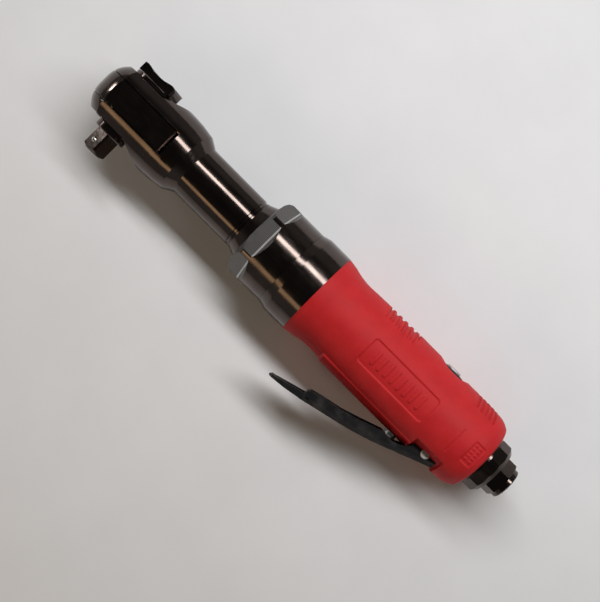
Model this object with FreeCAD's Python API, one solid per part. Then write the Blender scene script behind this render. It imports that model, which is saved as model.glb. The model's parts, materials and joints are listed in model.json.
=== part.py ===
import FreeCAD, Part
import math
import os
from FreeCAD import Vector

# Air ratchet, 3/8 in square drive, millimetres.
# The tool lies on its side. +X runs along the tool to the air inlet, +Y along the drive axis from
# the square to the reverse knob, and +Z is up. The pieces are modelled about the tool axis, with
# the drive axis at x = 0, and are moved at export so that the origin is the square's end face.

X = Vector(1, 0, 0)
Y = Vector(0, 1, 0)
Z = Vector(0, 0, 1)
RUN = 0.05                 # radial running clearance

# Square drive and anvil, along the drive axis
SQUARE = 9.53
SQUARE_END = -29.0
SQUARE_CORNER_R = 6.15
SQUARE_BEVEL = 1.3
COLLAR_R = 8.6
COLLAR_END = -17.5
DRIVE_TURN = 30.0          # the square's turn about the drive axis at rest
KNOB_TURN = 17.0           # the knob and pawl's turn at rest
ANVIL_R = 11.95
ANVIL_TOP_R = 8.95
ANVIL_TOP = 14.9
PAWL_X = -7.2              # pawl pin, from the drive axis
PAWL_PIN_R = 1.5
KNOB_R = 12.2
KNOB_HALF = 5.5            # half-width of the knob's bar
BALL_R = 1.6
BALL_Y = -23.7
BALL_OUT = 4.25            # ball centre from the drive axis

# Head: two ears with the yoke between them
EAR_OUT = 13.5
EAR_IN = 6.6
HEAD_R = 20.2              # rim of the head, about the drive axis
HEAD_CORNER_R = 15.5
SLOT_END = 28.0
FLAT_END = 9.0
EAR_CHAMFER = 0.6
CROWN_STEPS = 12
BULGE_R = 18.9
BULGE_X = 21.0
EAR_BORE_TOP = ANVIL_TOP_R + RUN
EAR_BORE_DRIVE = ANVIL_R + RUN
SPOT_R = 12.4              # machined face round the knob and the drive washer

# Yoke and crank
YOKE_HALF = 6.5
YOKE_TIP_R = 12.4
YOKE_ROOT_R = 13.6
YOKE_TEETH = 36
TAIL_END = 26.4
TAIL_BEVEL = 0.6
TAIL_HALF = 17.9
CRANK_R = 6.5
CRANK_THROW = 1.6
CRANK_PIN_R = 2.5
BUSHING_R = 4.0
FORK_HALF = 7.8            # open half-gap of the yoke's fork
FORK_START = 17.2

# Neck and clamp nut
NECK_R = 14.2
NECK_START = 42.0
NECK_END = 79.7
FLARE_R = 16.6
NUT_START = 85.3
NUT_END = 108.5
NUT_R = 22.2
NUT_FLAT = 19.65           # wrench flats, from the axis
NUT_FLAT_END = 92.9
NUT_LIP_END = 87.5
NUT_LIP_R = 16.7
NUT_BORE = 18.05
FLANGE_START = 87.6
FLANGE_R = 17.9
FLANGE_END = 90.5

# Planetary reduction
MODULE = 1.0
PRESSURE = math.radians(25)
SUN_TEETH = 9
PLANET_TEETH = 9
RING_TEETH = 27
PLANET_ORBIT = MODULE * (SUN_TEETH + PLANET_TEETH) / 2
PLANETS = 3
PLANET_PIN_R = 2.0
CARRIER_START = 84.5
CARRIER_END = 89.3
CARRIER_R = 12.4
GEAR_START = 90.8
GEAR_END = 101.2

# Motor
MOTOR_BORE = 16.0
MOTOR_R = 15.95
PLATE_START = 102.5
CYL_START = 109.5
CYL_END = 150.0
PLATE_END = 157.0
BORE_END = 158.0
CYL_BORE = 12.0
CYL_OFFSET = 1.2
ROTOR_R = 10.6
JOURNAL_FRONT_R = 5.5
JOURNAL_REAR_R = 3.5
VANES = 5
VANE_T = 1.8
VANE_DEPTH = 5.2
DOWEL_Y = 13.4
DOWEL_R = 1.0

# Motor housing and grip
THREAD_R = 18.0
THREAD_START = 91.4
HOUSING_R = 19.0
COLLAR_START = 108.6
COLLAR_FULL = 112.8
COLLAR_BIG_R = 23.4
GRIP_START = 126.0
GRIP_END = 238.6
HOUSING_END = 234.6
GRIP_PROFILE = [(126.0, 23.2), (130.0, 22.7), (135.5, 21.5), (140.6, 20.9), (147.0, 21.1),
                (158.0, 21.5), (185.0, 21.7), (210.0, 21.6), (229.0, 21.4)]
GRIP_NOSE = [(233.4, 20.8), (236.0, 19.7), (237.8, 18.2), (GRIP_END, 16.2)]
PAD_START = 149.0
PAD_END = 210.6
PAD_R = 22.0
PAD_ANGLE = 33.0
LABEL = (161.2, 203.4, -8.8, 5.4)      # sunk panels: x from, x to, y from, y to
REAR_PANEL = (228.4, 234.6, -7.5, 4.3)
RIBS = 5
RIB_REACH = 15.0           # half-width of the ribbed windows

# Throttle
VALVE_X = 199.4
STEM_R = 2.0
STEM_LOW = -27.1
SEAT_TOP = -3.0
SEAT_H = 3.0
POPPET_R = 4.2
CHAMBER_R = 5.5
BUSH_R = 3.9
BUSH_TIP_R = 3.15
BUSH_TIP = -23.8
DIAL_R = 6.9
SCOOP_R = 20.3             # hollow in the grip over the dial
SCOOP_Y = 39.7
DIAL_SHANK_R = 5.4
SCREW_R = 4.2

# Lever
PIVOT_X = 217.2
PIVOT_Y = -17.2
PIVOT_R = 1.5
RIVET_HEAD_R = 2.45
LEVER_HALF = 9.0
LEVER_T = 1.6
LEVER_TRAVEL = 9.0
LUG_HALF = 7.2
LUG_R = 3.9
POCKET_START = 208.4
POCKET_END = 225.4
POCKET_Y = -14.6
EAR_ROOM = [(224.3, POCKET_Y), (210.0, POCKET_Y), (209.0, -19.0), (207.4, -20.8), (204.6, -22.6),
            (201.4, -23.3), (195.1, -23.0), (188.5, -24.8), (182.0, -26.7), (182.0, -32.0),
            (224.3, -23.5)]

# Rear end
RING_R = 14.6
RING_START = 240.2
RING_END = 247.4
INLET_R = 9.4
INLET_START = 226.0
HEX_AF = 17.4
HEX_TURN = 14.0            # a corner's angle from the drive axis
HEX_END = 253.9
INLET_END = 256.7
NPT_R = 5.7
NPT_DEPTH = 12.0
GROOVE_X = 231.8
INLET_BORE_R = 5.0
EXHAUST_Y = 5.5
EXHAUST_Z = 10.7
EXHAUST_R = 2.0

NODES = {}


# ---- helpers -------------------------------------------------------------------------------

def rod(x0, x1, r, y=0.0, z=0.0):
    """Cylinder along X."""
    return Part.makeCylinder(r, x1 - x0, Vector(x0, y, z), X)


def tube(x0, x1, r, hole, y=0.0, z=0.0):
    """Hollow cylinder along X."""
    return rod(x0, x1, r, y, z).cut(rod(x0 - 1, x1 + 1, hole, y, z))


def post(y0, y1, r, x=0.0, z=0.0):
    """Cylinder along Y."""
    return Part.makeCylinder(r, y1 - y0, Vector(x, y0, z), Y)


def pin_z(half, r, x, y):
    """Cylinder along Z, centred on z = 0."""
    return Part.makeCylinder(r, 2 * half, Vector(x, y, -half), Z)


def block(x0, x1, y0, y1, z0, z1):
    return Part.makeBox(x1 - x0, y1 - y0, z1 - z0, Vector(x0, y0, z0))


def turned(points, axis=X):
    """Solid of revolution from (station, radius) points, about the tool axis or the drive axis."""
    if axis == X:
        corners = [Vector(s, r, 0) for s, r in points]
    else:
        corners = [Vector(r, s, 0) for s, r in points]
    face = Part.Face(Part.makePolygon(corners + corners[:1]))
    return face.revolve(Vector(0, 0, 0), axis, 360)


def turned_z(points):
    """Solid of revolution about Z from (radius, station) points."""
    corners = [Vector(r, 0, s) for r, s in points]
    return Part.Face(Part.makePolygon(corners + corners[:1])).revolve(Vector(0, 0, 0), Z, 360)


def prism(points, z0, z1):
    """Closed outline in the XY plane, extruded along Z."""
    corners = [Vector(x, y, z0) for x, y in points]
    return Part.Face(Part.makePolygon(corners + corners[:1])).extrude(Vector(0, 0, z1 - z0))


def slab(points, y0, y1):
    """Closed outline in the XZ plane, extruded along Y."""
    corners = [Vector(x, y0, z) for x, z in points]
    return Part.Face(Part.makePolygon(corners + corners[:1])).extrude(Vector(0, y1 - y0, 0))


def fuse(shapes):
    return shapes[0].multiFuse(shapes[1:]).removeSplitter()


def cut(shape, tools):
    for tool in tools:
        shape = shape.cut(tool)
    return shape


def polar(r, degrees):
    a = math.radians(degrees)
    return r * math.cos(a), r * math.sin(a)


def about_drive(shape, degrees):
    """Turn a piece of the anvil group to its rest angle about the drive axis."""
    shape.rotate(Vector(0, 0, 0), Y, -degrees)
    return shape


def add(name, shape):
    NODES[name] = shape


def coil(radius, wire, pitch, height, base, direction):
    """Helical spring with its axis along direction."""
    helix = Part.makeHelix(pitch, height, radius)
    ring = Part.Wire(Part.makeCircle(wire, Vector(radius, 0, 0), Y))
    spring = Part.Wire(helix.Edges).makePipeShell([ring], True, True)
    spring.Placement = FreeCAD.Placement(base, FreeCAD.Rotation(Z, direction))
    return spring


# ---- gears ---------------------------------------------------------------------------------

def involute(r):
    return math.tan(r) - r


def gear_outline(teeth, tip_r, root_r, slack, steps=4):
    """Points of an involute gear with a tooth centred on angle 0. slack thins each flank."""
    pitch_r = MODULE * teeth / 2
    base_r = pitch_r * math.cos(PRESSURE)
    half = math.pi / (2 * teeth) + involute(PRESSURE) - slack / pitch_r
    start = max(base_r, root_r)
    flank = []
    for i in range(steps + 1):
        r = start + (tip_r - start) * i / steps
        flank.append((r, half - involute(math.acos(min(1.0, base_r / r)))))
    points = []
    for k in range(teeth):
        centre = 2 * math.pi * k / teeth
        points.append((root_r, centre - flank[0][1]))
        points += [(r, centre - a) for r, a in flank]
        points += [(r, centre + a) for r, a in reversed(flank)]
        points.append((root_r, centre + flank[0][1]))
    outline = []
    for r, a in points:
        corner = Vector(0, r * math.cos(a), r * math.sin(a))
        if not outline or (corner - outline[-1]).Length > 1e-4:
            outline.append(corner)
    return outline


def gear_solid(outline, x0, x1, turn=0.0):
    face = Part.Face(Part.makePolygon(outline + outline[:1]))
    solid = face.extrude(Vector(x1 - x0, 0, 0))
    solid.rotate(Vector(0, 0, 0), X, math.degrees(turn))
    solid.translate(Vector(x0, 0, 0))
    return solid


def external_gear(teeth, x0, x1, turn=0.0):
    pitch_r = MODULE * teeth / 2
    outline = gear_outline(teeth, pitch_r + 0.8 * MODULE, pitch_r - MODULE, 0.05)
    return gear_solid(outline, x0, x1, turn)


def internal_gear_cutter(teeth, x0, x1, turn=0.0):
    """The space inside a ring gear: an external outline whose teeth are the ring's gaps."""
    pitch_r = MODULE * teeth / 2
    outline = gear_outline(teeth, pitch_r + MODULE, pitch_r - 0.8 * MODULE, -0.05)
    return gear_solid(outline, x0, x1, turn)


def build_gears():
    """Sun on the rotor, three planets on the crankshaft's carrier and a fixed ring gear."""
    for k in range(PLANETS):
        phi = 2 * math.pi * k / PLANETS
        turn = phi + math.pi - (math.pi - SUN_TEETH * phi) / PLANET_TEETH
        planet = external_gear(PLANET_TEETH, GEAR_START, GEAR_END, turn)
        planet = planet.cut(rod(GEAR_START - 1, GEAR_END + 1, PLANET_PIN_R + RUN))
        y, z = polar(PLANET_ORBIT, math.degrees(phi))
        planet.translate(Vector(0, y, z))
        add("planet_gear_%d" % (k + 1), planet)
    # a planet tooth sits in a ring gap where planet 1 meets the ring
    ring_turn = PLANET_TEETH * (math.pi - math.pi / PLANET_TEETH) / RING_TEETH
    ring = rod(FLANGE_END, PLATE_START, MOTOR_R)
    gaps = internal_gear_cutter(RING_TEETH, FLANGE_END - 1, PLATE_START + 1, ring_turn)
    add("ring_gear", ring.cut(gaps))


# ---- ratchet head --------------------------------------------------------------------------

def crowned_disc(half):
    """Disc about the drive axis whose rim is crowned: wide in the middle, narrower at the faces."""
    rim = []
    for i in range(CROWN_STEPS + 1):
        y = half * (2.0 * i / CROWN_STEPS - 1)
        drop = (HEAD_R - HEAD_CORNER_R) * (abs(y) / EAR_OUT) ** 3
        rim.append(Vector(HEAD_R - drop, y, 0))
    curve = Part.BSplineCurve()
    curve.interpolate(rim)
    low = Vector(0, -half, 0)
    high = Vector(0, half, 0)
    edges = [Part.LineSegment(low, rim[0]).toShape(), curve.toShape(),
             Part.LineSegment(rim[-1], high).toShape(), Part.LineSegment(high, low).toShape()]
    return Part.Face(Part.Wire(edges)).revolve(Vector(0, 0, 0), Y, 360)


def build_housing():
    """Forked head, bulge and neck in one forging, bored for the crankshaft and its bearings."""
    body = turned([(-HEAD_R - 1, 0), (-HEAD_R - 1, BULGE_R), (24, BULGE_R), (30, 18.5), (36.6, 17.5),
                   (NECK_START, NECK_R), (77.0, NECK_R), (77.4, NECK_R - 0.4), (78.6, NECK_R - 0.4),
                   (79.0, NECK_R), (NECK_END, NECK_R), (NUT_START, FLARE_R), (FLANGE_START, FLARE_R),
                   (FLANGE_START, FLANGE_R), (FLANGE_END, FLANGE_R), (FLANGE_END, 0)])
    wide = 30.0
    plan = crowned_disc(EAR_OUT).fuse(block(0, FLANGE_END + 1, -wide, wide, -wide, wide))
    solid = body.common(plan)
    slot = block(-wide, SLOT_END, -EAR_IN, EAR_IN, -wide, wide)
    flats = []
    for side in (1, -1):
        outline = [(-wide, EAR_OUT), (FLAT_END, EAR_OUT), (BULGE_X, BULGE_R), (BULGE_X, wide), (-wide, wide)]
        flats.append(prism([(x, side * y) for x, y in outline], -wide, wide))
    solid = cut(solid, [slot] + flats)
    rims = [e for e in solid.Edges if is_slot_rim(e)]
    solid = solid.makeChamfer(EAR_CHAMFER, rims)
    bores = [post(-EAR_OUT - 1, 0, EAR_BORE_DRIVE), post(0, EAR_OUT + 1, EAR_BORE_TOP),
             rod(SLOT_END - 1, 31.5, 7.4), rod(31.5, 44.0, 9.5), rod(43, 63.0, 8.0),
             rod(63.0, 70.0, 11.0), rod(69, 84.0, 8.5), rod(83.8, FLANGE_END + 1, 12.9)]
    spot_faces = [post(EAR_OUT, wide, SPOT_R), post(-wide, -EAR_OUT, SPOT_R)]
    add("ratchet_housing", cut(solid, bores + spot_faces))


def is_slot_rim(edge):
    """True for the outer edges of the ears' inner faces."""
    box = edge.BoundBox
    flat = box.YLength < 1e-3 and abs(abs(box.YMin) - EAR_IN) < 1e-3
    return flat and box.XMin < SLOT_END - 1


def build_yoke():
    """Ring with internal ratchet teeth and a forked tail that the crank swings from side to side."""
    corner = TAIL_END - TAIL_BEVEL
    side = [(0, TAIL_HALF), (corner, TAIL_HALF), (TAIL_END, TAIL_HALF - TAIL_BEVEL)]
    mirrored = [(x, -z) for x, z in reversed(side)]
    tail = slab(side + mirrored, -YOKE_HALF, YOKE_HALF)
    sides = block(-HEAD_R, TAIL_END, -YOKE_HALF, YOKE_HALF, -TAIL_HALF, TAIL_HALF)
    body = crowned_disc(YOKE_HALF).fuse(tail).common(sides)
    fork = block(FORK_START, TAIL_END + 1, -YOKE_HALF - 1, YOKE_HALF + 1, -FORK_HALF, FORK_HALF)
    points = []
    for k in range(2 * YOKE_TEETH):
        r = YOKE_TIP_R if k % 2 else YOKE_ROOT_R
        points.append(polar(r, 180.0 * k / YOKE_TEETH))
    teeth = slab(points, -YOKE_HALF - 1, YOKE_HALF + 1)
    add("yoke", body.cut(fork).cut(teeth))


def build_anvil():
    """Anvil with the square drive, its pawl slot and the bore for the knob's stem."""
    half = SQUARE / 2
    square = block(-half, half, SQUARE_END, COLLAR_END + 1, -half, half)
    bar = turned([(SQUARE_END, 0), (SQUARE_END, half - 0.6), (SQUARE_END + SQUARE_BEVEL, SQUARE_CORNER_R),
                  (COLLAR_END + 1, SQUARE_CORNER_R), (COLLAR_END + 1, 0)], Y)
    body = turned([(COLLAR_END, 0), (COLLAR_END, COLLAR_R - 0.5), (COLLAR_END + 0.5, COLLAR_R),
                   (-13.4, COLLAR_R), (-13.4, ANVIL_R), (6.5, ANVIL_R), (6.5, ANVIL_TOP_R),
                   (13.6, ANVIL_TOP_R), (13.6, 8.2), (14.5, 8.2), (14.5, ANVIL_TOP_R),
                   (ANVIL_TOP, ANVIL_TOP_R), (ANVIL_TOP, 0)], Y)
    ball_hole = Part.makeCylinder(BALL_R + RUN, 6, Vector(0, BALL_Y, 0.8), Z)
    square = about_drive(square.common(bar).cut(ball_hole), DRIVE_TURN)
    pawl_room = [block(-13, -4.2, -5.0, 5.0, -8.6, 8.6), block(-5, -2, -1.6, 1.6, -3.0, 3.0),
                 post(-9, 6.3, PAWL_PIN_R, x=PAWL_X)]
    cuts = [about_drive(shape, KNOB_TURN) for shape in pawl_room]
    add("anvil", cut(fuse([square, body]), cuts + [post(-6.2, ANVIL_TOP + 1, 3.25)]))
    add("pawl_pin", about_drive(post(-9, 6.3, PAWL_PIN_R, x=PAWL_X), KNOB_TURN))
    add("drive_ball", about_drive(Part.makeSphere(BALL_R, Vector(0, BALL_Y, BALL_OUT)), DRIVE_TURN))
    add("drive_ball_spring", about_drive(coil(1.1, 0.2, 0.65, 1.3, Vector(0, BALL_Y, 1.05), Z), DRIVE_TURN))
    add("drive_side_washer", turned([(-13.55, COLLAR_R + 0.02), (-13.55, 12.0), (-13.9, 12.0),
                                     (-14.25, 10.8), (-14.25, COLLAR_R + 0.02)], Y))
    ring = post(13.62, 14.48, 10.6).cut(post(13, 15, 8.25))
    add("anvil_retaining_ring", about_drive(ring.cut(block(8, 11, 13, 15, -1.3, 1.3)), KNOB_TURN))


def build_pawl():
    """Two-ended rocking pawl on its pin, just clear of the yoke's teeth at either stop."""
    crescent = post(-4.9, 4.9, 11.6).cut(post(-5, 5, 8.6))
    reach = 13.0
    x, z = polar(reach, 40)
    wedge = slab([(0, 0), (-x, z), (-reach - 4, 0), (-x, -z)], -4.9, 4.9)
    hub = post(-4.9, 4.9, 2.6, x=PAWL_X)
    pawl = fuse([crescent.common(wedge), hub]).cut(post(-6, 6, PAWL_PIN_R + RUN, x=PAWL_X))
    add("pawl", about_drive(pawl, KNOB_TURN))


def build_knob():
    """Reverse knob: a bar with a stem down the anvil, and the plunger that tips the pawl."""
    add("knob_base", turned([(13.65, 10.9), (13.65, 11.7), (13.9, 12.0), (15.5, 12.0), (16.0, 11.5),
                             (16.0, 4.4), (ANVIL_TOP, 4.4), (ANVIL_TOP, 10.9)], Y))
    half = [(0, 19.8), (4.0, 20.0), (7.0, 20.7), (9.2, 21.0), (10.8, 20.7), (11.6, 19.6), (11.6, 16.1)]
    top = [(-x, y) for x, y in reversed(half[1:])] + half
    bar = prism(top, -KNOB_HALF, KNOB_HALF).common(post(16.0, 22.0, KNOB_R))
    stem = post(-6.0, 16.2, 3.2)
    hole = Part.makeCylinder(1.25, 5.0, Vector(-3.5, 0, 0), X)
    add("reverse_knob", about_drive(cut(fuse([bar, stem]), [hole]), KNOB_TURN))
    plunger = turned([(-4.4, 0), (-4.3, 0.5), (-3.9, 1.0), (-3.4, 1.2), (-0.95, 1.2), (-0.95, 0)])
    add("pawl_plunger", about_drive(plunger, KNOB_TURN))
    add("pawl_spring", about_drive(coil(0.9, 0.16, 0.5, 1.8, Vector(-0.7, 0, 0), X), KNOB_TURN))


# ---- crankshaft ----------------------------------------------------------------------------

def build_crankshaft():
    """Eccentric pin, shaft and planet carrier, with the bearings that hold them in the neck."""
    shaft = rod(27.4, CARRIER_START + 1, CRANK_R)
    pin = rod(17.8, 28.0, CRANK_PIN_R, z=CRANK_THROW)
    carrier = rod(CARRIER_START, CARRIER_END, CARRIER_R)
    holes = []
    pins = []
    for k in range(PLANETS):
        y, z = polar(PLANET_ORBIT, 360.0 * k / PLANETS)
        holes.append(rod(CARRIER_START - 1, CARRIER_END + 1, PLANET_PIN_R, y, z))
        pins.append(rod(CARRIER_START, 101.5, PLANET_PIN_R, y, z))
    nose = rod(CARRIER_END - 3, CARRIER_END + 1, 5.6)
    add("crankshaft", cut(fuse([shaft, pin, carrier]), holes + [nose]))
    add("planet_pins", Part.makeCompound(pins))
    add("drive_bushing", tube(18.2, 25.2, BUSHING_R, CRANK_PIN_R + RUN, z=CRANK_THROW))
    add("crank_front_bushing", tube(31.5, 43.5, 9.5, CRANK_R + RUN))
    ball_bearing("crank_bearing", 63.0, 70.0, CRANK_R, 11.0, 2.8, 12)


def ball_bearing(name, x0, x1, inner, outer, ball, count):
    """Deep-groove bearing as its outer race, its balls and its inner race."""
    middle = (inner + outer) / 2
    x = (x0 + x1) / 2
    groove = Part.makeTorus(middle, ball / 2 + 0.03, Vector(x, 0, 0), X)
    gap = 0.33 * ball
    add(name + "_outer_race", tube(x0, x1, outer, middle + gap).cut(groove))
    add(name + "_inner_race", tube(x0, x1, middle - gap, inner).cut(groove))
    balls = []
    for k in range(count):
        y, z = polar(middle, 360.0 * k / count)
        balls.append(Part.makeSphere(ball / 2, Vector(x, y, z)))
    add(name + "_balls", Part.makeCompound(balls))


# ---- motor ---------------------------------------------------------------------------------

def build_motor():
    """Vane motor: end plates, eccentric cylinder, slotted rotor with its sun gear, and vanes."""
    dowel_hole = rod(PLATE_START - 1, PLATE_END + 2, DOWEL_R + 0.02, y=DOWEL_Y)
    front = rod(PLATE_START, CYL_START, MOTOR_R)
    front = cut(front, [rod(PLATE_START - 1, 107.5, 10.5), rod(107, CYL_START + 1, 6.0), dowel_hole])
    add("front_end_plate", front)
    rear = rod(CYL_END, PLATE_END, MOTOR_R)
    port = rod(CYL_END - 1, PLATE_END + 1, 1.4, y=-11.6)
    rear = cut(rear, [rod(151.5, PLATE_END + 1, 8.5), rod(CYL_END - 1, 152, 4.0), dowel_hole, port])
    add("rear_end_plate", rear)
    sleeve = rod(CYL_START, CYL_END, MOTOR_R)
    sleeve = cut(sleeve, [rod(CYL_START - 1, CYL_END + 1, CYL_BORE, y=-CYL_OFFSET), dowel_hole])
    exhaust = [pin_z(MOTOR_R + 1, 1.6, x, 3.0) for x in (118.0, 126.0, 134.0, 142.0)]
    add("cylinder", cut(sleeve, exhaust))
    add("cylinder_dowel", rod(104.0, 156.5, DOWEL_R, y=DOWEL_Y))
    build_rotor()
    ball_bearing("front_bearing", PLATE_START, 107.5, JOURNAL_FRONT_R, 10.5, 2.8, 9)
    ball_bearing("rear_bearing", 151.5, PLATE_END, JOURNAL_REAR_R, 8.5, 3.0, 8)
    add("rear_gasket", tube(PLATE_END, BORE_END, MOTOR_R, 9.5).cut(rod(156, 159, 1.6, y=-11.6)))


def build_rotor():
    body = rod(109.7, 149.8, ROTOR_R)
    shaft = [rod(102.0, 110.0, JOURNAL_FRONT_R), rod(149.0, 157.4, JOURNAL_REAR_R)]
    sun = external_gear(SUN_TEETH, GEAR_START + 0.2, 102.5)
    slots = []
    vanes = []
    for k in range(VANES):
        slot = block(109.0, 150.5, ROTOR_R - VANE_DEPTH - 0.3, ROTOR_R + 1, -VANE_T / 2 - 0.04,
                     VANE_T / 2 + 0.04)
        vane = block(109.75, 149.75, ROTOR_R - VANE_DEPTH, ROTOR_R - 0.05, -VANE_T / 2, VANE_T / 2)
        for shape in (slot, vane):
            shape.rotate(Vector(0, 0, 0), X, 360.0 * k / VANES)
        slots.append(slot)
        vanes.append(vane)
    add("rotor", cut(fuse([body, sun] + shaft), slots))
    add("rotor_vanes", Part.makeCompound(vanes))


# ---- clamp nut, motor housing and grip -----------------------------------------------------

def build_nut():
    """Clamp nut with six wrench flats that run out on a 45 degree shoulder."""
    body = turned([(NUT_START, NUT_LIP_R), (NUT_START, 19.9), (NUT_START + 0.9, 21.3),
                   (NUT_START + 2.6, NUT_R), (NUT_END, NUT_R), (NUT_END, NUT_BORE),
                   (NUT_LIP_END, NUT_BORE), (NUT_LIP_END, NUT_LIP_R)])
    side = NUT_R + 2
    flats = []
    for k in range(6):
        flat = prism([(NUT_START - 1, NUT_FLAT), (NUT_FLAT_END, NUT_FLAT), (NUT_FLAT_END + 5, NUT_FLAT + 5),
                      (NUT_START - 1, NUT_FLAT + 5)], -side, side)
        flat.rotate(Vector(0, 0, 0), X, 30 + 60.0 * k)
        flats.append(flat)
    add("clamp_nut", cut(body, flats))


LEVER_LOW = [(155.5, -41.6), (172.6, -37.6), (192.0, -32.3), (201.1, -29.0), (210.5, -25.3),
             (223.9, -20.2)]
EAR_TOP = [(223.9, -16.2), (223.0, -15.4), (211.1, -15.4), (210.2, -16.3), (209.5, -19.2),
           (207.8, -21.3), (204.8, -23.1), (201.6, -24.1), (195.1, -23.9)]
WALL_TOP = [(188.7, -26.1), (184.0, -27.8), (174.2, -30.9), (164.4, -33.0), (157.6, -34.7), (156.2, -35.9)]
PADDLE = [(137.0, -43.3), (137.8, -43.9), (146.6, -42.9), (159.5, -40.6), (159.5, -38.9),
          (146.6, -41.2), (137.8, -42.5)]
FLANGE = [(139.0, -43.2), (157.5, -40.8), (157.5, -37.3), (148.0, -39.9), (139.0, -42.4)]
PADDLE_PLAN = [(136.9, 4.0), (138.6, 6.6), (142.0, 8.3), (146.6, LEVER_HALF), (230.0, LEVER_HALF)]


def spline(points):
    curve = Part.BSplineCurve()
    curve.interpolate([Vector(x, y, 0) for x, y in points])
    return curve.toShape()


def channel(low, top, half, chamfer):
    """Solid between a splined lower edge and a polygonal upper edge, bevelled along its bottom."""
    edges = [spline(low)]
    corners = [low[-1]] + top + [low[0]]
    for a, b in zip(corners[:-1], corners[1:]):
        edges.append(Part.LineSegment(Vector(a[0], a[1], 0), Vector(b[0], b[1], 0)).toShape())
    solid = Part.Face(Part.Wire(edges)).extrude(Vector(0, 0, 2 * half))
    solid.translate(Vector(0, 0, -half))
    bottom = [e for e in solid.Edges if e.BoundBox.XLength > 0.9 * (low[-1][0] - low[0][0])]
    bottom = [e for e in bottom if e.Curve.TypeId == "Part::GeomBSplineCurve"]
    return solid.makeChamfer(chamfer, bottom)


def build_lever():
    """Pressed-steel throttle lever: a channel with pivot ears and a flat paddle at the tip."""
    outer = channel(LEVER_LOW, EAR_TOP + WALL_TOP, LEVER_HALF, 2.6)
    inner_low = [(x, y + LEVER_T) for x, y in LEVER_LOW]
    inner_low[0] = (157.2, inner_low[0][1] + 0.4)
    inner_low[-1] = (226.0, -17.8)
    hollow = channel(inner_low, [(226.0, 0.0), (157.2, 0.0)], LEVER_HALF - LEVER_T, 2.0)
    paddle = prism(PADDLE, -LEVER_HALF, LEVER_HALF)
    mirrored = [(x, -z) for x, z in reversed(PADDLE_PLAN)]
    plan = slab(PADDLE_PLAN + mirrored, -50, 0)
    flanges = [prism(FLANGE, LEVER_HALF - LEVER_T, LEVER_HALF),
               prism(FLANGE, -LEVER_HALF, LEVER_T - LEVER_HALF)]
    tip = fuse([paddle] + flanges).common(plan)
    pivot_hole = pin_z(20, PIVOT_R + RUN, PIVOT_X, PIVOT_Y)
    lug_room = pin_z(LUG_HALF + RUN, LUG_R + 0.25, PIVOT_X, PIVOT_Y)
    add("lever", cut(fuse([outer.cut(hollow), tip]), [pivot_hole, lug_room]))
    pin = turned_z([(0, LEVER_HALF + 0.9), (RIVET_HEAD_R - 0.5, LEVER_HALF + 0.9),
                    (RIVET_HEAD_R, LEVER_HALF + 0.5), (RIVET_HEAD_R, LEVER_HALF + 0.1),
                    (PIVOT_R, LEVER_HALF + 0.1), (PIVOT_R, 0), (0, 0)])
    pin = pin.fuse(pin.mirror(Vector(0, 0, 0), Z)).removeSplitter()
    pin.translate(Vector(PIVOT_X, PIVOT_Y, 0))
    add("lever_pin", pin)


def lever_clearance():
    """Room in the housing and grip for the pivot ears through the lever's travel."""
    room = []
    for side in (1, -1):
        low, high = sorted((side * (LUG_HALF + RUN), side * (LEVER_HALF + 0.9)))
        deep, wide = sorted((side * (LUG_HALF + RUN), side * 30))
        room.append(block(POCKET_START, POCKET_END, -30.0, POCKET_Y, deep, wide))
        for step in range(4):
            shape = prism(EAR_ROOM, low, high)
            shape.rotate(Vector(PIVOT_X, PIVOT_Y, 0), Z, -(LEVER_TRAVEL + 0.3) * step / 3)
            room.append(shape)
    return room


def build_motor_housing(room):
    """Bored housing: screw thread, collar, motor bore, throttle passages and the lever's lug."""
    solid = turned([(THREAD_START, 0), (THREAD_START, THREAD_R), (COLLAR_START, THREAD_R),
                    (COLLAR_START, NUT_R), (COLLAR_FULL, COLLAR_BIG_R), (GRIP_START, COLLAR_BIG_R),
                    (GRIP_START, HOUSING_R), (HOUSING_END, HOUSING_R), (HOUSING_END, 0)])
    lug = fuse([block(PIVOT_X - LUG_R, PIVOT_X + LUG_R, PIVOT_Y, -12, -LUG_HALF, LUG_HALF),
                pin_z(LUG_HALF, LUG_R, PIVOT_X, PIVOT_Y)])
    gap = block(POCKET_START, POCKET_END, -30.0, POCKET_Y, -LUG_HALF - 1, LUG_HALF + 1)
    solid = fuse([solid.cut(gap), lug])
    bores = [rod(THREAD_START - 1, BORE_END, MOTOR_BORE),
             rod(INLET_START, HOUSING_END + 1, INLET_R + 0.05),
             rod(206.0, INLET_START + 1, 6.5), rod(VALVE_X, 207.0, 4.0),
             post(SEAT_TOP - SEAT_H, 25.0, CHAMBER_R, x=VALVE_X),
             post(-13.0, SEAT_TOP, 3.4, x=VALVE_X), post(-30.0, -12.0, BUSH_R, x=VALVE_X),
             rod(BORE_END - 1, VALVE_X, 2.2, y=-9.0),
             pin_z(20, PIVOT_R, PIVOT_X, PIVOT_Y)]
    for y in (EXHAUST_Y, -EXHAUST_Y):
        for z in (EXHAUST_Z, -EXHAUST_Z):
            bores.append(rod(BORE_END - 1, HOUSING_END + 1, EXHAUST_R, y, z))
    add("motor_housing", cut(solid, bores + room))


def grip_solid(shrink=0.0):
    """Outside of the moulded grip as a solid of revolution."""
    points = [(x, r - shrink) for x, r in GRIP_PROFILE]
    curve = spline(points)
    end = points[-1]
    corner = [(x, r - shrink) for x, r in GRIP_NOSE] + [(GRIP_END, 0), (GRIP_START, 0), points[0]]
    edges = [curve]
    last = end
    for p in corner:
        edges.append(Part.LineSegment(Vector(last[0], last[1], 0), Vector(p[0], p[1], 0)).toShape())
        last = p
    return Part.Face(Part.Wire(edges)).revolve(Vector(0, 0, 0), X, 360)


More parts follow.
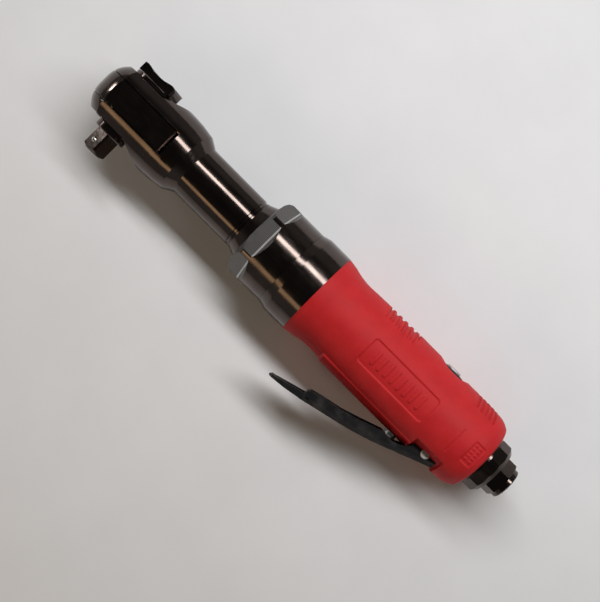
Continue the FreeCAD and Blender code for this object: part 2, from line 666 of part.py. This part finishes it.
def window(x0, x1, y0, y1, depth):
    """Shallow sunk panel on the +Z side, following the grip's surface."""
    outline = block(x0, x1, y0, y1, 5, 30)
    return outline.cut(grip_solid(depth))


def rib_window(x0, x1, ribs):
    """Shallow sunk panel over the +Y side, crossed by slanted ribs that reach the surface."""
    panel = block(x0, x1, 5, 30, -RIB_REACH, RIB_REACH).cut(grip_solid(0.8))
    end = RIB_REACH + 0.5
    pitch = (x1 - x0) / ribs
    bars = []
    for k in range(ribs):
        x = x0 + pitch * (k + 0.5)
        bars.append(slab([(x - 1.9, -end), (x - 0.5, -end), (x + 1.9, end), (x + 0.5, end)], 5, 30))
    return cut(panel, bars)


def build_grip(room):
    """Moulded grip over the motor housing, with label panel, ribbed windows and underside pad."""
    pad = turned([(PAD_START, HOUSING_R + 0.5), (PAD_START + 3, PAD_R), (PAD_END - 1.2, PAD_R),
                  (PAD_END, PAD_R - 1.2), (PAD_END, HOUSING_R + 0.5)])
    y, z = polar(40.0, -90 + PAD_ANGLE)
    sector = Part.Face(Part.makePolygon([Vector(0, 0, 0), Vector(0, z, y), Vector(0, -40, 0),
                                         Vector(0, z, -y), Vector(0, 0, 0)]))
    sector = sector.extrude(Vector(300, 0, 0))
    solid = fuse([grip_solid(), pad.common(sector)])
    cuts = [rod(GRIP_START - 1, HOUSING_END, HOUSING_R), rod(HOUSING_END - 1, GRIP_END + 1, 15.0),
            window(*LABEL, 0.7), window(*REAR_PANEL, 0.5),
            rib_window(157.0, 176.2, RIBS), rib_window(216.2, 229.8, RIBS),
            post(0, 30, DIAL_R + 0.3, x=VALVE_X),
            post(-30, 0, BUSH_R + 0.1, x=VALVE_X),
            block(POCKET_START, POCKET_END, -30.0, POCKET_Y, -LUG_HALF - 1, LUG_HALF + 1)]
    scoop = pin_z(9.0, SCOOP_R, VALVE_X, SCOOP_Y)
    add("grip_sleeve", cut(solid, cuts + [scoop] + room))


# ---- throttle, regulator and rear end ------------------------------------------------------

def build_throttle():
    """Valve in the cross bore: bush, stem with its poppet, seat and spring, and the air regulator."""
    bush = turned([(BUSH_TIP, STEM_R + RUN), (BUSH_TIP, BUSH_TIP_R), (-21.6, BUSH_TIP_R), (-21.6, BUSH_R),
                   (-12.4, BUSH_R), (-12.4, STEM_R + RUN)], Y)
    stem = fuse([post(STEM_LOW + 0.8, SEAT_TOP + 0.1, STEM_R), post(SEAT_TOP + RUN, -0.8, POPPET_R),
                 Part.makeCone(1.2, STEM_R, 0.8, Vector(0, STEM_LOW, 0), Y)])
    seat = turned([(SEAT_TOP - SEAT_H, 3.2), (SEAT_TOP - SEAT_H, CHAMBER_R), (SEAT_TOP, CHAMBER_R),
                   (SEAT_TOP, 3.2)], Y)
    spring = coil(3.0, 0.4, 1.7, 7.6, Vector(0, -0.35, 0), Y)
    shank = turned([(9.0, 0), (9.0, 4.6), (9.8, DIAL_SHANK_R), (19.2, DIAL_SHANK_R), (19.2, DIAL_R),
                    (20.1, DIAL_R), (20.6, DIAL_R - 0.6), (20.6, SCREW_R + RUN), (19.0, SCREW_R + RUN),
                    (19.0, 0)], Y)
    screw = turned([(19.0, 0), (19.0, SCREW_R), (21.3, SCREW_R), (21.8, SCREW_R - 0.5), (21.8, 0)], Y)
    screw = screw.cut(block(-SCREW_R - 1, SCREW_R + 1, 20.7, 23, -0.55, 0.55))
    for name, shape in (("throttle_bushing", bush), ("throttle_stem", stem), ("valve_seat", seat),
                        ("valve_spring", spring), ("regulator_dial", shank), ("regulator_screw", screw)):
        shape.translate(Vector(VALVE_X, 0, 0))
        add(name, shape)


def hexagon(af, x0, x1):
    corner = af / math.sqrt(3)
    points = []
    for k in range(6):
        y, z = polar(corner, 60.0 * k + HEX_TURN)
        points.append(Vector(x0, y, z))
    return Part.Face(Part.makePolygon(points + points[:1])).extrude(Vector(x1 - x0, 0, 0))


def build_rear():
    """Exhaust ring, inlet bushing with its hex, the screen and the seals."""
    thread = turned([(INLET_START, 0), (INLET_START, INLET_R), (GROOVE_X - 0.8, INLET_R),
                     (GROOVE_X - 0.8, 8.0), (GROOVE_X + 0.8, 8.0), (GROOVE_X + 0.8, INLET_R),
                     (RING_END, INLET_R), (RING_END, 0)])
    crown = turned([(RING_END, 0), (RING_END, 9.3), (RING_END + 0.6, 10.2), (HEX_END - 0.6, 10.2),
                    (HEX_END, 9.2), (HEX_END, 0)])
    rim = turned([(HEX_END, 0), (HEX_END, 8.4), (INLET_END - 0.5, 8.4), (INLET_END, 7.9), (INLET_END, 0)])
    solid = fuse([thread, hexagon(HEX_AF, RING_END, HEX_END).common(crown), rim])
    bore = [rod(INLET_END - NPT_DEPTH, INLET_END + 1, NPT_R), rod(INLET_START - 1, INLET_END, INLET_BORE_R)]
    add("inlet_bushing", cut(solid, bore))
    add("inlet_o_ring", Part.makeTorus(8.7, 0.68, Vector(GROOVE_X, 0, 0), X))
    cup = cut(rod(214.0, INLET_START, 6.2), [rod(214.6, INLET_START + 1, 5.4)])
    holes = []
    for row in range(3):
        for k in range(8):
            hole = Part.makeCylinder(0.8, 10, Vector(217.0 + 3.0 * row, 0, 0), Y)
            hole.rotate(Vector(0, 0, 0), X, 45.0 * k + 22.5 * row)
            holes.append(hole)
    add("inlet_screen", cut(cup, holes))
    facets = Part.Face(Part.makePolygon([Vector(0, *polar(RING_R, 30.0 * k + 15)) for k in range(12)]
                                        + [Vector(0, *polar(RING_R, 15))]))
    facets = facets.extrude(Vector(300, 0, 0))
    ring = turned([(HOUSING_END, 9.5), (HOUSING_END, 14.2), (RING_START, 14.2), (RING_START, RING_R + 0.6),
                   (RING_END - 3.0, RING_R + 0.6), (RING_END, 12.6), (RING_END, 9.5)])
    ring = ring.common(facets)
    cavity = tube(HOUSING_END - 1, RING_END - 2.6, 13.2, 10.3)
    vents = [rod(RING_END - 3.6, RING_END + 1, 0.9, *polar(11.6, 45.0 * k + 22.5)) for k in range(8)]
    add("exhaust_ring", cut(ring, [cavity] + vents))
    add("exhaust_silencer", tube(HOUSING_END + 1.0, RING_END - 2.8, 13.1, 10.4))


# ---- build ---------------------------------------------------------------------------------

def main():
    os.makedirs("parts", exist_ok=True)
    room = lever_clearance()
    build_housing()
    build_yoke()
    build_anvil()
    build_pawl()
    build_knob()
    build_crankshaft()
    build_gears()
    build_motor()
    build_nut()
    build_motor_housing(room)
    build_grip(room)
    build_lever()
    build_throttle()
    build_rear()
    for name, shape in NODES.items():
        shape.translate(Vector(0, -SQUARE_END, 0))
        shape.exportStep("parts/%s.step" % name)
        box = shape.BoundBox
        print("%-26s solids %d valid %s volume %.1f  x %.1f..%.1f y %.1f..%.1f z %.1f..%.1f"
              % (name, len(shape.Solids), shape.isValid(), shape.Volume, box.XMin, box.XMax,
                 box.YMin, box.YMax, box.ZMin, box.ZMax))


main()
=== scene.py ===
import json
import math
import bpy
import numpy as np
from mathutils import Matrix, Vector


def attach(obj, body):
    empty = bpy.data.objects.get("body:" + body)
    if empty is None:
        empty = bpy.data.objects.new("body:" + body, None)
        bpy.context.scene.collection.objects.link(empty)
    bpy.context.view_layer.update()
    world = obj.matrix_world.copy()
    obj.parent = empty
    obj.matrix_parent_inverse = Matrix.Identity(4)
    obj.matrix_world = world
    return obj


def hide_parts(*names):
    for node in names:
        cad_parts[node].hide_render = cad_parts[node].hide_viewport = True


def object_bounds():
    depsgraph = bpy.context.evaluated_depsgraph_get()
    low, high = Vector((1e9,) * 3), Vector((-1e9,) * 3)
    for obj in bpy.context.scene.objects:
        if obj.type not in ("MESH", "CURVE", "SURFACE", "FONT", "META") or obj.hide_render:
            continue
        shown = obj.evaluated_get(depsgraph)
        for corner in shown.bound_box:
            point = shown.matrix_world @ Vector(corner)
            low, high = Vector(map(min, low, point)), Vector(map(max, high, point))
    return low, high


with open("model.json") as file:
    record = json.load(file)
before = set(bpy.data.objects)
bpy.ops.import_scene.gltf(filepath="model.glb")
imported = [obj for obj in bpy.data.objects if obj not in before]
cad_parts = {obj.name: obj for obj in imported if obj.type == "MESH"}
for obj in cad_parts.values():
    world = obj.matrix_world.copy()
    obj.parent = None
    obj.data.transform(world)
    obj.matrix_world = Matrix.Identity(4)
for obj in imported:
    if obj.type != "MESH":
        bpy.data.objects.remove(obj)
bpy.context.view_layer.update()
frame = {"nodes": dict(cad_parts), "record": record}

# The CAD frame is kept: metres, the tool axis along X at y = AXIS_Y. Dimensions below are in
# millimetres about the tool axis, as in the part's source.
MM = 0.001
AXIS_Y = 29.0

# Grip
GRIP_START, GRIP_END = 126.0, 238.6
GRIP_PROFILE = [(126.0, 23.2), (130.0, 22.7), (135.5, 21.5), (140.6, 20.9), (147.0, 21.1),
                (158.0, 21.5), (185.0, 21.7), (210.0, 21.6), (229.0, 21.4), (233.4, 20.8),
                (236.0, 19.7), (237.8, 18.2), (238.6, 16.2)]
HOUSING_END = 234.6
GRIP_INNER_R = 19.02
REAR_HOLE_R = 15.0
PAD_START, PAD_END, PAD_R, PAD_HALF = 149.0, 210.6, 22.0, math.radians(33)
RIB_REACH = 15.0
POCKET_DEPTH = 14.45       # from the tool axis, just inside the housing's flat
SCOOP_R, SCOOP_Y = 20.3, 39.7
SUNK_R = 18.8              # inside the housing: where the moulding is open, the housing shows
SCOOP_HALF_X, SCOOP_HALF_Z = 9.3, 9.0
VALVE_X = 199.4
SCREW_HOLE_R = 7.2         # opening over the regulator
BUSHING_HOLE_R = 4.1       # opening under it, for the throttle bushing
LABEL = (161.2, 203.4, -8.8, 5.4)            # sunk panels: x from and to, y from and to
BARS, BAR_X, BAR_PITCH, BAR_HALF = 8, 167.6, 4.2, 0.9
BAR_Y = (-5.9, 2.5)
REAR_PANEL = (228.4, 234.6, -7.5, 4.3)
DASH_COLUMNS = (229.3, 231.9)
DASHES, DASH_Y, DASH_PITCH, DASH_LENGTH, DASH_HALF = 5, -5.4, 2.0, 1.7, 0.3
LINE = (220.5, 221.0, -9.7, 4.5)             # fine groove between the panels
RIB_WINDOWS = ((157.0, 176.2), (216.2, 229.8))
RIBS, RIB_HALF, RIB_SLANT = 5, 0.75, 0.1
EAR_X = [180.4, 180.9, 187.6, 194.4, 200.6, 207.0, 208.4]
EAR_Y = [24.0, 20.9, 20.0, 19.3, 20.5, 19.0, 17.4]   # upper edge of the slots for the lever's walls
EAR_END, EAR_Z, EAR_HALF = 224.3, 8.55, 1.4
POCKET = (208.4, 225.4)
GRIP_COLUMNS = 390
GRIP_RINGS = 400

# Clamp nut, where its wrench flats are toned and a line of painted highlight crosses their shoulder
FLAT_REACH, FLAT_TONE_END = 21.9, 95.5
SHOULDER_GLINT = (92.6, 93.5)
MILLING_PITCH = 0.6

LIGHT_DISTANCE = 0.62      # metres
FLOOR_HALF = 3.0           # metres


# ---- node materials --------------------------------------------------------------------------

class Graph:
    """A node material being built around one Principled shader."""

    def __init__(self, name):
        self.material = bpy.data.materials.new(name)
        self.material.use_nodes = True
        self.tree = self.material.node_tree
        self.shader = self.tree.nodes["Principled BSDF"]
        self.place = self.add("ShaderNodeTexCoord").outputs["Object"]

    def add(self, kind, **settings):
        node = self.tree.nodes.new(kind)
        for key, value in settings.items():
            setattr(node, key, value)
        return node

    def feed(self, socket, value):
        if isinstance(value, bpy.types.NodeSocket):
            self.tree.links.new(value, socket)
        else:
            socket.default_value = value

    def noise(self, per_mm, detail=3.0, stretch=(1, 1, 1)):
        """Noise whose features are about 1 / per_mm millimetres across."""
        mapping = self.add("ShaderNodeMapping")
        self.feed(mapping.inputs["Vector"], self.place)
        mapping.inputs["Scale"].default_value = stretch
        node = self.add("ShaderNodeTexNoise")
        self.feed(node.inputs["Vector"], mapping.outputs["Vector"])
        node.inputs["Scale"].default_value = per_mm / MM
        node.inputs["Detail"].default_value = detail
        return node.outputs["Fac"]

    def scale(self, value, low, high, from_low=0.3, from_high=0.7):
        node = self.add("ShaderNodeMapRange")
        limits = {"From Min": from_low, "From Max": from_high, "To Min": low, "To Max": high}
        for key, number in limits.items():
            self.feed(node.inputs[key], number)
        self.feed(node.inputs["Value"], value)
        return node.outputs["Result"]

    def math(self, operation, a, b=0.0):
        node = self.add("ShaderNodeMath", operation=operation)
        self.feed(node.inputs[0], a)
        self.feed(node.inputs[1], b)
        return node.outputs[0]

    def blend(self, amount, a, b):
        node = self.add("ShaderNodeMix", data_type="RGBA")
        self.feed(node.inputs["Factor"], amount)
        self.feed(node.inputs["A"], a)
        self.feed(node.inputs["B"], b)
        return node.outputs["Result"]

    def bump(self, height, depth_mm, under=None):
        node = self.add("ShaderNodeBump")
        node.inputs["Strength"].default_value = 1.0
        self.feed(node.inputs["Distance"], depth_mm * MM)
        self.feed(node.inputs["Height"], height)
        if under is not None:
            self.feed(node.inputs["Normal"], under)
        return node.outputs["Normal"]

    def axis_parts(self):
        """x along the tool, and the distance from the tool axis, in millimetres."""
        parts = self.add("ShaderNodeSeparateXYZ")
        self.feed(parts.inputs["Vector"], self.place)
        y = self.math("SUBTRACT", parts.outputs["Y"], AXIS_Y * MM)
        square = self.math("ADD", self.math("POWER", self.math("ABSOLUTE", y), 2.0),
                           self.math("POWER", self.math("ABSOLUTE", parts.outputs["Z"]), 2.0))
        radius = self.math("DIVIDE", self.math("SQRT", square), MM)
        return self.math("DIVIDE", parts.outputs["X"], MM), radius

    def set(self, **inputs):
        names = {"color": "Base Color", "rough": "Roughness", "metal": "Metallic",
                 "normal": "Normal", "specular": "Specular IOR Level"}
        for key, value in inputs.items():
            self.feed(self.shader.inputs[names[key]], value)
        return self.material


def plated(name, dark, light, rough_low, rough_high):
    """Black-nickel plating: cloudy tone, polishing haze and hairline scratches."""
    g = Graph(name)
    cloud = g.noise(0.09, 4.0)
    haze = g.noise(0.5, 3.0, (0.25, 1, 1))
    hair = g.noise(3.0, 2.0, (0.04, 1, 1))
    normal = g.bump(g.scale(hair, 0.0, 1.0, 0.45, 0.75), 0.0012)
    return g.set(color=g.blend(g.scale(cloud, 0.0, 1.0), dark, light), metal=1.0,
                 rough=g.scale(haze, rough_low, rough_high), normal=normal)


def nut_metal():
    """The plating of the clamp nut, with fine milling lines on its wrench flats and a painted highlight
    line at their shoulder.
    """
    g = Graph("nut_plating")
    x, radius = g.axis_parts()
    flat = g.math("LESS_THAN", radius, FLAT_REACH)
    flat = g.math("MULTIPLY", flat, g.math("LESS_THAN", x, FLAT_TONE_END))
    line = g.math("SINE", g.math("MULTIPLY", x, 2 * math.pi / MILLING_PITCH))
    cloud = g.noise(0.12, 4.0)
    tone = g.blend(g.scale(cloud, 0.0, 1.0), (0.080, 0.062, 0.055, 1), (0.105, 0.084, 0.074, 1))
    cut = g.blend(g.scale(line, 0.0, 1.0, -1.0, 1.0), (0.03, 0.029, 0.028, 1), (0.26, 0.245, 0.235, 1))
    # painted highlight: a pale band across the flats at the shoulder stands in for the glint of light
    # there
    painted_glint = g.math("MULTIPLY", g.math("GREATER_THAN", x, SHOULDER_GLINT[0]),
                      g.math("LESS_THAN", x, SHOULDER_GLINT[1]))
    cut = g.blend(g.math("MULTIPLY", painted_glint, flat), cut, (0.60, 0.60, 0.58, 1))
    normal = g.bump(g.math("MULTIPLY", line, flat), 0.002)
    haze = g.noise(0.6, 3.0, (0.3, 1, 1))
    rough = g.math("ADD", g.scale(haze, 0.12, 0.2), g.math("MULTIPLY", flat, 0.26))
    return g.set(color=g.blend(flat, tone, cut), metal=1.0, rough=rough, normal=normal)


def moulded_grip():
    """Matte red moulding with a fine grain and slight mottling."""
    g = Graph("grip_moulding")
    mottle = g.noise(0.12, 4.0)
    grain = g.noise(2.6, 2.0)
    pores = g.noise(6.0, 1.0)
    tone = g.blend(g.scale(mottle, 0.0, 1.0), (0.53, 0.014, 0.017, 1), (0.61, 0.022, 0.025, 1))
    tone = g.blend(g.scale(grain, 0.0, 0.35), tone, (0.40, 0.010, 0.013, 1))
    normal = g.bump(g.scale(grain, 0.0, 1.0), 0.05)
    normal = g.bump(g.scale(pores, 0.0, 1.0), 0.015, normal)
    return g.set(color=tone, metal=0.0, rough=g.scale(mottle, 0.5, 0.62), normal=normal, specular=0.22)


def satin_black():
    """Black oxide sheet steel, rubbed a little lighter in places."""
    g = Graph("lever_black_oxide")
    rub = g.noise(0.15, 5.0)
    grain = g.noise(3.0, 2.0)
    tone = g.blend(g.scale(rub, 0.0, 1.0, 0.45, 0.75),
                   (0.022, 0.021, 0.022, 1), (0.06, 0.056, 0.054, 1))
    return g.set(color=tone, metal=0.65, rough=g.scale(rub, 0.30, 0.44),
                 normal=g.bump(g.scale(grain, 0.0, 1.0), 0.01))


def bare_metal(name, dark, light, rough):
    """Turned metal with fine tool lines around the tool axis."""
    g = Graph(name)
    lines = g.noise(2.5, 2.0, (1, 0.06, 0.06))
    cloud = g.noise(0.2, 4.0)
    tone = g.blend(g.scale(cloud, 0.0, 1.0), dark, light)
    return g.set(color=tone, metal=1.0, rough=g.scale(cloud, rough, rough + 0.12),
                 normal=g.bump(g.scale(lines, 0.0, 1.0), 0.004))


def soft_matte(name, dark, light, rough, per_mm=1.5):
    """Rubber or fibre with a fine matte grain."""
    g = Graph(name)
    grain = g.noise(per_mm, 3.0)
    tone = g.blend(g.scale(g.noise(0.2, 4.0), 0.0, 1.0), dark, light)
    return g.set(color=tone, rough=g.scale(grain, rough, rough + 0.15),
                 normal=g.bump(g.scale(grain, 0.0, 1.0), 0.02))


PLATING = plated("black_nickel_plating", (0.080, 0.062, 0.055, 1), (0.105, 0.084, 0.074, 1), 0.10, 0.17)
ALLOY = plated("black_anodised_alloy", (0.080, 0.063, 0.057, 1), (0.105, 0.085, 0.076, 1), 0.12, 0.20)
NUT = nut_metal()
GRIP = moulded_grip()
LEVER = satin_black()
STEEL = bare_metal("bright_steel", (0.56, 0.55, 0.53, 1), (0.68, 0.67, 0.65, 1), 0.16)
BRONZE = bare_metal("bronze", (0.42, 0.28, 0.12, 1), (0.55, 0.40, 0.20, 1), 0.24)
RUBBER = soft_matte("black_rubber", (0.012, 0.012, 0.012, 1), (0.025, 0.024, 0.024, 1), 0.6)
FELT = soft_matte("vane_and_silencer", (0.10, 0.075, 0.05, 1), (0.16, 0.12, 0.08, 1), 0.7, 3.0)

SLOT_LOOKS = {"black_nickel": PLATING, "black_alloy": ALLOY, "red_grip": GRIP, "lever_steel": LEVER,
              "bright_steel": STEEL, "bronze": BRONZE, "rubber": RUBBER, "vane_composite": FELT}
WORN = bare_metal("worn_steel", (0.60, 0.60, 0.58, 1), (0.74, 0.74, 0.72, 1), 0.42)
NODE_LOOKS = {"clamp_nut": NUT, "regulator_dial": RUBBER, "regulator_screw": WORN, "lever_pin": WORN,
              "throttle_bushing": WORN}


def dress_nodes():
    """Give every carried-over CAD node its procedural material."""
    for part in frame["record"]["subparts"]:
        node = frame["nodes"][part["node"]]
        look = NODE_LOOKS.get(part["node"], SLOT_LOOKS[part["material_slot"]])
        for slot in node.material_slots:
            slot.material = look


# ---- grip --------------------------------------------------------------------------------------

def ease(distance, width):
    """0 outside and 1 inside a soft edge, where distance is negative inside."""
    t = np.clip(0.5 - distance / width, 0.0, 1.0)
    return t * t * (3 - 2 * t)


def rounded_box(u, v, u0, u1, v0, v1, corner):
    """Signed distance to a rectangle with rounded corners."""
    du = np.abs(u - (u0 + u1) / 2) - (u1 - u0) / 2 + corner
    dv = np.abs(v - (v0 + v1) / 2) - (v1 - v0) / 2 + corner
    outside = np.hypot(np.maximum(du, 0), np.maximum(dv, 0))
    return outside + np.minimum(np.maximum(du, dv), 0) - corner


def base_radius(x):
    """The grip's profile, a smooth curve through its stations."""
    stations, radii = np.array(GRIP_PROFILE).T
    slopes = np.gradient(radii, stations)
    i = np.clip(np.searchsorted(stations, x) - 1, 0, len(stations) - 2)
    span = stations[i + 1] - stations[i]
    t = (x - stations[i]) / span
    return ((2 * t**3 - 3 * t**2 + 1) * radii[i] + (t**3 - 2 * t**2 + t) * span * slopes[i]
            + (3 * t**2 - 2 * t**3) * radii[i + 1] + (t**3 - t**2) * span * slopes[i + 1])


def label_relief(x, y):
    """Sunk label panel with plain raised bars."""
    relief = -0.7 * ease(rounded_box(x, y, *LABEL, 1.8), 0.55)
    for k in range(BARS):
        middle = BAR_X + BAR_PITCH * k
        bar = rounded_box(x, y, middle - BAR_HALF, middle + BAR_HALF, *BAR_Y, BAR_HALF)
        relief += 0.5 * ease(bar, 0.5)
    return relief


def tick_relief(x, y):
    """Small sunk panel at the rear with two columns of plain dashes."""
    relief = -0.5 * ease(rounded_box(x, y, *REAR_PANEL, 0.8), 0.5)
    for column in DASH_COLUMNS:
        for k in range(DASHES):
            middle = DASH_Y + DASH_PITCH * k
            dash = rounded_box(x, y, column, column + DASH_LENGTH,
                               middle - DASH_HALF, middle + DASH_HALF, DASH_HALF)
            relief += 0.4 * ease(dash, 0.45)
    return relief


def rib_relief(x, z, x0, x1):
    """Sunk window on the knob's side, crossed by slanted ribs."""
    depth = ease(rounded_box(x, z, x0, x1, -RIB_REACH, RIB_REACH, 0.8), 0.5)
    pitch = (x1 - x0) / RIBS
    phase = (x - x0 - z * RIB_SLANT) / pitch
    ribs = ease(np.abs(phase - np.floor(phase) - 0.5) * pitch - RIB_HALF, 0.6)
    return -1.0 * depth * (1 - ribs)


def grip_radius(x, angle):
    """Radius of the moulding at station x and angle from +Y towards +Z, in millimetres."""
    radius = base_radius(x)
    under = np.abs(np.abs(angle) - math.pi)
    arc = (under - PAD_HALF) * PAD_R
    pad = ease(arc, 1.2) * ease(rounded_box(x, 0 * x, PAD_START, PAD_END, -9, 9, 0.0), 2.0)
    radius = radius + pad * np.maximum(PAD_R - radius, 0)
    y, z = radius * np.cos(angle), radius * np.sin(angle)
    near = z > 0
    radius = radius + near * (label_relief(x, y) + tick_relief(x, y))
    groove = ease(rounded_box(x, y, *LINE, 0.2), 0.5)
    radius = radius - near * 0.28 * groove
    top = y > 0
    radius = radius + top * sum(rib_relief(x, z, *window) for window in RIB_WINDOWS)
    return opened(x, angle, radius)


def opened(x, angle, radius):
    """Sink the surface below the housing where the moulding is cut away."""
    y, z = radius * np.cos(angle), radius * np.sin(angle)
    top, low = y > 0, y < 0
    reach = np.maximum(np.abs(np.cos(angle)), 1e-3)
    scoop = SCOOP_Y - np.sqrt(np.maximum(SCOOP_R**2 - (x - VALVE_X) ** 2, 0))
    in_scoop = top & (np.abs(z) < SCOOP_HALF_Z) & (np.abs(x - VALVE_X) < SCOOP_HALF_X)
    radius = np.where(in_scoop, np.minimum(radius, scoop / reach), radius)
    from_valve = np.hypot(x - VALVE_X, z)
    radius = np.where(top & (from_valve < SCREW_HOLE_R), SUNK_R, radius)
    radius = np.where(low & (from_valve < BUSHING_HOLE_R), SUNK_R, radius)
    ear_y = np.interp(x, EAR_X, EAR_Y)
    in_ear = low & (np.abs(np.abs(z) - EAR_Z) < EAR_HALF) & (x > EAR_X[0]) & (x < EAR_END)
    radius = np.where(in_ear, np.minimum(radius, ear_y / reach), radius)
    in_pocket = low & (x > POCKET[0]) & (x < POCKET[1])
    return np.where(in_pocket, np.minimum(radius, POCKET_DEPTH / reach), radius)


def ring_points(x, radius, angle):
    """Points in metres round the tool axis."""
    across = (AXIS_Y + radius * np.cos(angle)) * MM
    return np.stack([x * MM + 0 * angle, across, radius * np.sin(angle) * MM], -1)


def build_grip():
    """The moulded grip as one closed skin: outside, rear hole and bore."""
    angle = np.linspace(-math.pi, math.pi, GRIP_RINGS, endpoint=False)
    stations = np.linspace(GRIP_START, GRIP_END, GRIP_COLUMNS)
    xs, angles = np.meshgrid(stations, angle, indexing="ij")
    rows = list(ring_points(xs, grip_radius(xs, angles), angles))
    for x, radius in ((GRIP_END, REAR_HOLE_R), (HOUSING_END, REAR_HOLE_R), (HOUSING_END, GRIP_INNER_R),
                      (GRIP_START, GRIP_INNER_R)):
        rows.append(ring_points(x, radius, angle))
    rows = np.array(rows)
    count = len(rows)
    corner = np.arange(count * GRIP_RINGS).reshape(count, GRIP_RINGS)
    below = np.roll(corner, -1, axis=0)
    faces = np.stack([corner, np.roll(corner, -1, 1), np.roll(below, -1, 1), below], -1).reshape(-1, 4)
    mesh = bpy.data.meshes.new("grip_moulding")
    mesh.from_pydata(rows.reshape(-1, 3).tolist(), [], faces.tolist())
    mesh.materials.append(GRIP)
    mesh.shade_smooth()
    mesh.set_sharp_from_angle(angle=math.radians(48))
    piece = bpy.data.objects.new("grip_moulding", mesh)
    bpy.context.scene.collection.objects.link(piece)
    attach(piece, "housing")
    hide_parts("grip_sleeve")


# ---- stage -------------------------------------------------------------------------------------

CAMERA_HEIGHT = 520.0      # above the tool axis
CAMERA_X = 144.0
PICTURE_X, PICTURE_Y = 122.7, -8.2
PICTURE_SPAN = 292.7       # what the picture's long side takes in, at the tool axis
TURN = math.radians(45.2)


def make_camera():
    """Camera straight above the tool, turned so that the tool runs across the picture's diagonal."""
    data = bpy.data.cameras.new("camera")
    data.sensor_width = 36.0
    data.lens = data.sensor_width * CAMERA_HEIGHT / PICTURE_SPAN
    offset = (PICTURE_X - CAMERA_X) / PICTURE_SPAN
    data.shift_x = offset * math.cos(TURN)
    data.shift_y = -offset * math.sin(TURN)
    camera = bpy.data.objects.new("camera", data)
    camera.location = (CAMERA_X * MM, (AXIS_Y + PICTURE_Y) * MM, CAMERA_HEIGHT * MM)
    camera.rotation_euler = (0, 0, TURN)
    bpy.context.scene.collection.objects.link(camera)
    bpy.context.scene.camera = camera


def softbox(name, target_x, tilt, along, size, radiance, color=(1, 1, 1)):
    """Area light aimed at the tool axis.

    From overhead it is tilted towards +Y and moved along towards +X, both in degrees.
    """
    data = bpy.data.lights.new(name, "AREA")
    data.shape = "RECTANGLE"
    data.size, data.size_y = size
    data.energy = radiance * math.pi * size[0] * size[1]
    data.color = color
    a, b = math.radians(tilt), math.radians(along)
    way = Vector((math.sin(b), math.sin(a) * math.cos(b), math.cos(a) * math.cos(b)))
    light = bpy.data.objects.new(name, data)
    light.location = Vector((target_x * MM, AXIS_Y * MM, 0)) + way * LIGHT_DISTANCE
    light.rotation_euler = way.to_track_quat("Z", "Y").to_euler()
    bpy.context.scene.collection.objects.link(light)


def make_world():
    """A dim studio: a grey backdrop round the horizon, darker overhead."""
    world = bpy.data.worlds.new("studio")
    world.use_nodes = True
    tree = world.node_tree
    back = tree.nodes["Background"]
    place = tree.nodes.new("ShaderNodeTexCoord")
    parts = tree.nodes.new("ShaderNodeSeparateXYZ")
    height = tree.nodes.new("ShaderNodeMapRange")
    height.interpolation_type = "SMOOTHSTEP"
    fade = {"From Min": 0.3, "From Max": 0.60, "To Min": 0.17, "To Max": 0.035}
    for key, number in fade.items():
        height.inputs[key].default_value = number
    tree.links.new(place.outputs["Generated"], parts.inputs["Vector"])
    tree.links.new(parts.outputs["Z"], height.inputs["Value"])
    tree.links.new(height.outputs["Result"], back.inputs["Strength"])
    back.inputs["Color"].default_value = (1.0, 0.98, 0.96, 1)
    bpy.context.scene.world = world


def make_stage():
    """Pale floor, dim world and three soft lights."""
    floor_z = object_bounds()[0][2]
    g = Graph("pale_floor")
    tone = g.blend(g.scale(g.noise(0.02, 4.0), 0.0, 1.0), (0.80, 0.80, 0.81, 1), (0.84, 0.84, 0.85, 1))
    g.set(color=tone, rough=0.85, specular=0.1)
    mesh = bpy.data.meshes.new("floor")
    sides = ((-1, -1), (1, -1), (1, 1), (-1, 1))
    corners = [(sx * FLOOR_HALF, sy * FLOOR_HALF, floor_z) for sx, sy in sides]
    mesh.from_pydata(corners, [], [(0, 1, 2, 3)])
    mesh.materials.append(g.material)
    floor = bpy.data.objects.new("floor", mesh)
    bpy.context.scene.collection.objects.link(floor)
    make_world()
    softbox("key", 110, 31, 0, (1.05, 0.11), 12.0)
    softbox("front", 0, 4, -74, (0.05, 0.07), 22.0)
    softbox("warm_card", 60, -55, -8, (0.6, 0.12), 2.0, (1.0, 0.72, 0.42))
    bpy.context.scene.view_settings.view_transform = "Standard"


dress_nodes()
build_grip()
make_stage()
make_camera()
